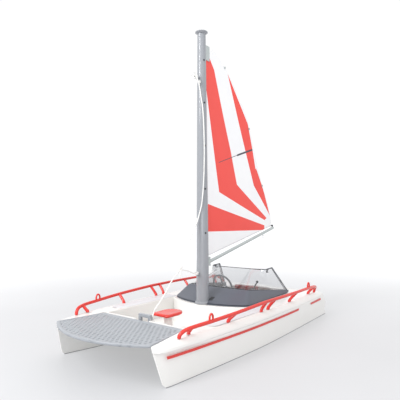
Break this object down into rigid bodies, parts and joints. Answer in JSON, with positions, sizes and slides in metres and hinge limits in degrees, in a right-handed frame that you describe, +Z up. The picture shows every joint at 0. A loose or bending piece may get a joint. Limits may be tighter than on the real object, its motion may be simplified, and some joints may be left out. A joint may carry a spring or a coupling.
{
  "type": "toy sailing catamaran",
  "caption": "Toy sailing catamaran: twin hulls joined by a deck with foredeck well and cockpit, tapered mast, swinging boom and sail, handrails, windshield and helm.",
  "frame": {"origin": "centre of the overall length and beam, on the floor plane under the keels", "axes": "+X towards the bow, +Y to port, +Z up the mast"},
  "size_m": [0.4228, 0.2054, 0.4179],
  "materials": {
    "white_shell": "glossy white moulded ABS",
    "red_trim": "glossy red moulded ABS",
    "mast_grey": "satin light grey ABS",
    "net_grey": "satin grey polypropylene",
    "dark_grey": "fine-grained dark grey ABS",
    "boom_grey": "satin pale grey ABS",
    "clear_smoke": "clear, faintly smoked polystyrene",
    "clip_black": "black nylon",
    "sail_cloth": "printed white ripstop nylon with red bands",
    "cord_cotton": "braided white cotton",
    "stripe_red": "printed red film"
  },
  "bodies": {
    "platform": {"aft_rail_port": "red_trim", "aft_rail_starboard": "red_trim", "coaming": "dark_grey", "cockpit_tub": "white_shell", "dashboard": "dark_grey", "deck": "white_shell", "foredeck_seat": "red_trim", "foredeck_well": "white_shell", "forestay_cord": "cord_cotton", "forward_rail_port": "red_trim", "forward_rail_starboard": "red_trim", "gooseneck": "boom_grey", "helm_seat": "red_trim", "lower_stay_hook": "mast_grey", "mast": "mast_grey", "mast_cap": "mast_grey", "mast_step": "white_shell", "port_hull": "white_shell", "port_stripe": "stripe_red", "port_stripe_aft": "stripe_red", "sail_clip_1": "clip_black", "sail_clip_2": "clip_black", "sail_clip_3": "clip_black", "sail_clip_4": "clip_black", "sail_clip_5": "clip_black", "seat_pedestal": "white_shell", "starboard_hull": "white_shell", "starboard_stripe": "stripe_red", "starboard_stripe_aft": "stripe_red", "stay_bracket": "net_grey", "stay_branch_cord": "cord_cotton", "steering_column": "clip_black", "throttle_pivot": "clip_black", "trampoline_net": "net_grey", "upper_stay_hook": "mast_grey", "windshield": "clear_smoke"},
    "sail_rig": {"boom": "boom_grey", "boom_ring": "clear_smoke", "sail": "sail_cloth", "head_tab": "boom_grey", "clew_clip": "clip_black", "batten_clip_1": "boom_grey", "batten_clip_2": "boom_grey", "batten_clip_3": "boom_grey"},
    "steering_wheel": {"steering_wheel": "mast_grey"},
    "throttle_lever": {"throttle_lever": "clip_black"}
  },
  "joints": [
    {"name": "boom_swing", "type": "hinge", "parent": "platform", "child": "sail_rig", "pos_m": [-0.001, 0, 0.098], "axis": [0, 0, 1], "range_deg": [-55, 55]},
    {"name": "wheel_turn", "type": "hinge", "parent": "platform", "child": "steering_wheel", "pos_m": [-0.063, -0.0194, 0.056], "axis": [0.9063, 0, -0.4226], "continuous": true},
    {"name": "throttle_tilt", "type": "hinge", "parent": "platform", "child": "throttle_lever", "pos_m": [-0.07, 0.029, 0.0514], "axis": [0, 1, 0], "range_deg": [-22, 75]}
  ]
}
